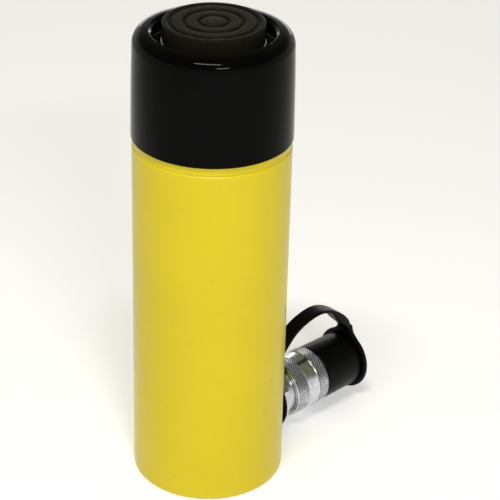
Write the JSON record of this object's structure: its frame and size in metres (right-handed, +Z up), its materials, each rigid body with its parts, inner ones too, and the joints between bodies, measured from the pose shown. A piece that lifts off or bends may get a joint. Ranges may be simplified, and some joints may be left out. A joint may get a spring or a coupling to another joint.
{
  "type": "single acting hydraulic cylinder",
  "caption": "Upright spring-return hydraulic cylinder with a grooved saddle on its plunger, a collar thread under a moulded protector, and a side coupler with a capped nose.",
  "frame": {"origin": "centre of the flat base face that the cylinder stands on", "axes": "+Z up along the plunger, +X out along the side coupler, so +Y completes the frame"},
  "size_m": [0.1609, 0.0874, 0.273],
  "materials": {
    "yellow_paint": "semi-gloss yellow enamel over turned steel",
    "chrome_plate": "hard chrome, ground",
    "zinc_plate": "bright zinc plate on turned steel",
    "knurled_plate": "bright plate over a diamond knurl",
    "black_steel": "black oxide steel, oiled",
    "black_plastic": "moulded black plastic, glossy",
    "black_rubber": "moulded black rubber",
    "seal_polymer": "moulded polyurethane",
    "bearing_bronze": "turned bronze",
    "turned_steel": "turned steel, oiled",
    "spring_steel": "drawn spring wire"
  },
  "bodies": {
    "cylinder": {"cylinder_body": "yellow_paint", "stop_ring": "turned_steel", "guide_bearing": "bearing_bronze", "rod_wiper": "black_rubber", "return_spring": "spring_steel", "spring_base_plug": "turned_steel", "coupler_body": "zinc_plate", "collar_snap_ring": "spring_steel", "coupler_seal": "seal_polymer", "valve_seat": "turned_steel", "check_spring": "spring_steel", "cap_strap": "black_rubber"},
    "ram": {"plunger": "chrome_plate", "piston_seal": "seal_polymer", "backup_ring": "seal_polymer", "piston_bearing": "bearing_bronze", "spring_head_plug": "turned_steel", "spring_screw": "black_steel"},
    "saddle_pad": {"saddle": "black_steel", "saddle_retaining_ring": "black_rubber"},
    "protector": {"thread_protector": "black_plastic"},
    "collar": {"coupler_collar": "knurled_plate"},
    "cap": {"dust_cap": "black_rubber"},
    "ball": {"check_ball": "turned_steel"}
  },
  "joints": [
    {"name": "plunger_slide", "type": "slide", "parent": "cylinder", "child": "ram", "axis": [0, 0, 1], "range_m": [0, 0.158], "stiffness_N_per_m": 2400, "springref_m": -0.08, "deforming": ["return_spring"]},
    {"name": "saddle_lift", "type": "slide", "parent": "ram", "child": "saddle_pad", "axis": [0, 0, 1], "range_m": [0, 0.03]},
    {"name": "protector_lift", "type": "slide", "parent": "cylinder", "child": "protector", "axis": [0, 0, 1], "range_m": [0, 0.07]},
    {"name": "collar_spin", "type": "hinge", "parent": "cylinder", "child": "collar", "pos_m": [0.07, 0, 0.022], "axis": [1, 0, 0], "continuous": true},
    {"name": "cap_pull", "type": "slide", "parent": "cylinder", "child": "cap", "axis": [1, 0, 0], "range_m": [0, 0.018], "deforming": ["cap_strap"]},
    {"name": "ball_lift", "type": "slide", "parent": "cylinder", "child": "ball", "axis": [-1, 0, 0], "range_m": [0, 0.002], "stiffness_N_per_m": 400, "springref_m": -0.005, "deforming": ["check_spring"]}
  ]
}
